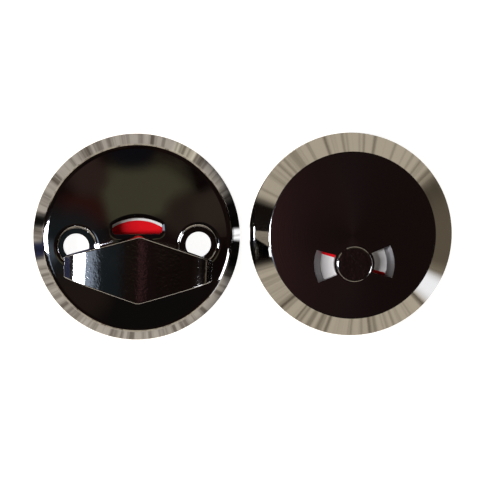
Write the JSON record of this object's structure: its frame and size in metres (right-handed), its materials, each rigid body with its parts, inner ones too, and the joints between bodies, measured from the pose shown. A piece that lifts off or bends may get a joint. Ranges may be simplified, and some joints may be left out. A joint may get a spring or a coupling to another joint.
{
  "type": "bathroom thumb turn lock",
  "caption": "Chrome bathroom turn and release: a pressed round rose with a lozenge thumb turn and a curved red window, and a turned round rose with a slotted coin turn and fan windows.",
  "frame": {"origin": "under the middle of the pair, on the plane that both backs rest on", "axes": "+Z away from the door face, +X from the inside half towards the outside half, +Y up the door"},
  "size_m": [0.1039, 0.0512, 0.0165],
  "materials": {
    "polished_chrome": "polished chrome plate on a smooth pressed or cast surface",
    "turned_chrome": "chrome plate over fine concentric turning marks",
    "white_plastic": "moulded white plastic, slightly glossy",
    "red_field": "red indicator field, smooth",
    "nylon": "natural moulded nylon",
    "spring_steel": "blank rolled spring strip",
    "zinc_steel": "stamped sheet, bright zinc plate"
  },
  "bodies": {
    "roses": {"inside_rose": "polished_chrome", "turn_bush": "nylon", "inside_wave_washer": "spring_steel", "outside_rose": "turned_chrome", "outside_wave_washer": "spring_steel", "outside_back_plate": "zinc_steel"},
    "thumb_turn": {"thumb_turn": "polished_chrome", "inside_indicator_disc": "white_plastic", "inside_red_field": "red_field", "turn_retaining_ring": "spring_steel"},
    "coin_turn": {"coin_turn": "polished_chrome", "outside_indicator_disc": "white_plastic", "outside_red_field_upper": "red_field", "outside_red_field_lower": "red_field"}
  },
  "joints": [
    {"name": "thumb_turn_swivel", "type": "hinge", "parent": "roses", "child": "thumb_turn", "pos_m": [-0.02635, -0.0071, 0.008], "axis": [0, 0, 1], "range_deg": [0, 90]},
    {"name": "coin_turn_swivel", "type": "hinge", "parent": "roses", "child": "coin_turn", "pos_m": [0.0271, -0.00709, 0.004], "axis": [0, 0, 1], "range_deg": [-35.2, 54.8]}
  ]
}
